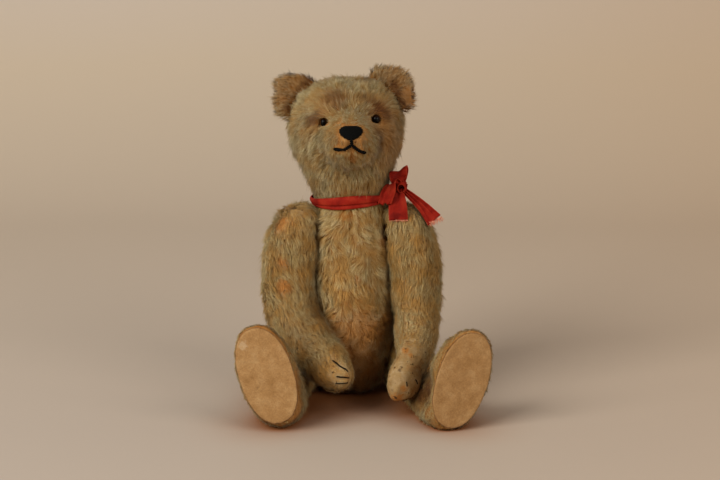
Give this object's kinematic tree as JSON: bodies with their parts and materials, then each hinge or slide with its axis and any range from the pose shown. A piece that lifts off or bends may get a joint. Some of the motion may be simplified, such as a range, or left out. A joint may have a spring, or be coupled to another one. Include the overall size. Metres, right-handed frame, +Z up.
{
  "type": "jointed teddy bear",
  "caption": "Old sitting teddy bear of worn mohair, jointed at neck, shoulders and hips, with felt pads, glass eyes, a stitched nose and a red ribbon.",
  "frame": {"origin": "on the floor under the middle of the flat seat, between the two hips", "axes": "+Z up, -Y the way the bear faces, +X to the bear's own left"},
  "size_m": [0.1689, 0.1472, 0.2269],
  "materials": {
    "mohair": "worn golden-brown mohair pile on an orange-tan woven backing",
    "felt": "matte tan wool felt, rubbed and moth-grazed",
    "black_thread": "black cotton thread, satin",
    "eye_glass": "polished dark brown glass with a black pupil",
    "steel_wire": "dull mild steel",
    "board": "pressed board, matte",
    "red_ribbon": "faded red ribbon with frayed ends"
  },
  "bodies": {
    "torso": {"hip_left_body_disc": "board", "hip_left_body_washer": "steel_wire", "hip_right_body_disc": "board", "hip_right_body_washer": "steel_wire", "neck_body_disc": "board", "neck_body_washer": "steel_wire", "neck_ribbon": "red_ribbon", "shoulder_left_body_disc": "board", "shoulder_left_body_washer": "steel_wire", "shoulder_right_body_disc": "board", "shoulder_right_body_washer": "steel_wire", "torso": "mohair"},
    "head": {"ear_left": "mohair", "ear_right": "mohair", "eye_left": "eye_glass", "eye_right": "eye_glass", "eye_shank_left": "steel_wire", "eye_shank_right": "steel_wire", "head": "mohair", "mouth_corners": "black_thread", "mouth_stem": "black_thread", "neck_cotter_pin": "steel_wire", "neck_limb_disc": "board", "neck_limb_washer": "steel_wire", "nose": "black_thread"},
    "arm_left": {"arm_left": "mohair", "claw_left_paw_1": "black_thread", "claw_left_paw_2": "black_thread", "paw_pad_left": "felt", "shoulder_left_cotter_pin": "steel_wire", "shoulder_left_limb_disc": "board", "shoulder_left_limb_washer": "steel_wire"},
    "arm_right": {"arm_right": "mohair", "claw_right_paw_1": "black_thread", "claw_right_paw_2": "black_thread", "claw_right_paw_3": "black_thread", "paw_pad_right": "felt", "shoulder_right_cotter_pin": "steel_wire", "shoulder_right_limb_disc": "board", "shoulder_right_limb_washer": "steel_wire"},
    "leg_left": {"foot_pad_left": "felt", "hip_left_cotter_pin": "steel_wire", "hip_left_limb_disc": "board", "hip_left_limb_washer": "steel_wire", "leg_left": "mohair"},
    "leg_right": {"foot_pad_right": "felt", "hip_right_cotter_pin": "steel_wire", "hip_right_limb_disc": "board", "hip_right_limb_washer": "steel_wire", "leg_right": "mohair"}
  },
  "joints": [
    {"name": "neck", "type": "hinge", "parent": "torso", "child": "head", "pos_m": [0, 0, 0.137], "axis": [-0.0593, 0, 0.9982], "continuous": true},
    {"name": "shoulder_left", "type": "hinge", "parent": "torso", "child": "arm_left", "pos_m": [0.02659, -0.00469, 0.116], "axis": [-0.9848, 0.1736, 0], "range_deg": [0, 100], "deforming": ["neck_ribbon"]},
    {"name": "shoulder_right", "type": "hinge", "parent": "torso", "child": "arm_right", "pos_m": [-0.02608, -0.00699, 0.116], "axis": [-0.9659, -0.2588, 0], "range_deg": [0, 100]},
    {"name": "hip_left", "type": "hinge", "parent": "torso", "child": "leg_left", "pos_m": [0.0226, 0.001, 0.023], "axis": [0.948, 0.2862, -0.1392], "range_deg": [0, 75]},
    {"name": "hip_right", "type": "hinge", "parent": "torso", "child": "leg_right", "pos_m": [-0.0226, 0.006, 0.023], "axis": [0.9843, -0.1087, 0.1392], "range_deg": [0, 75]}
  ]
}
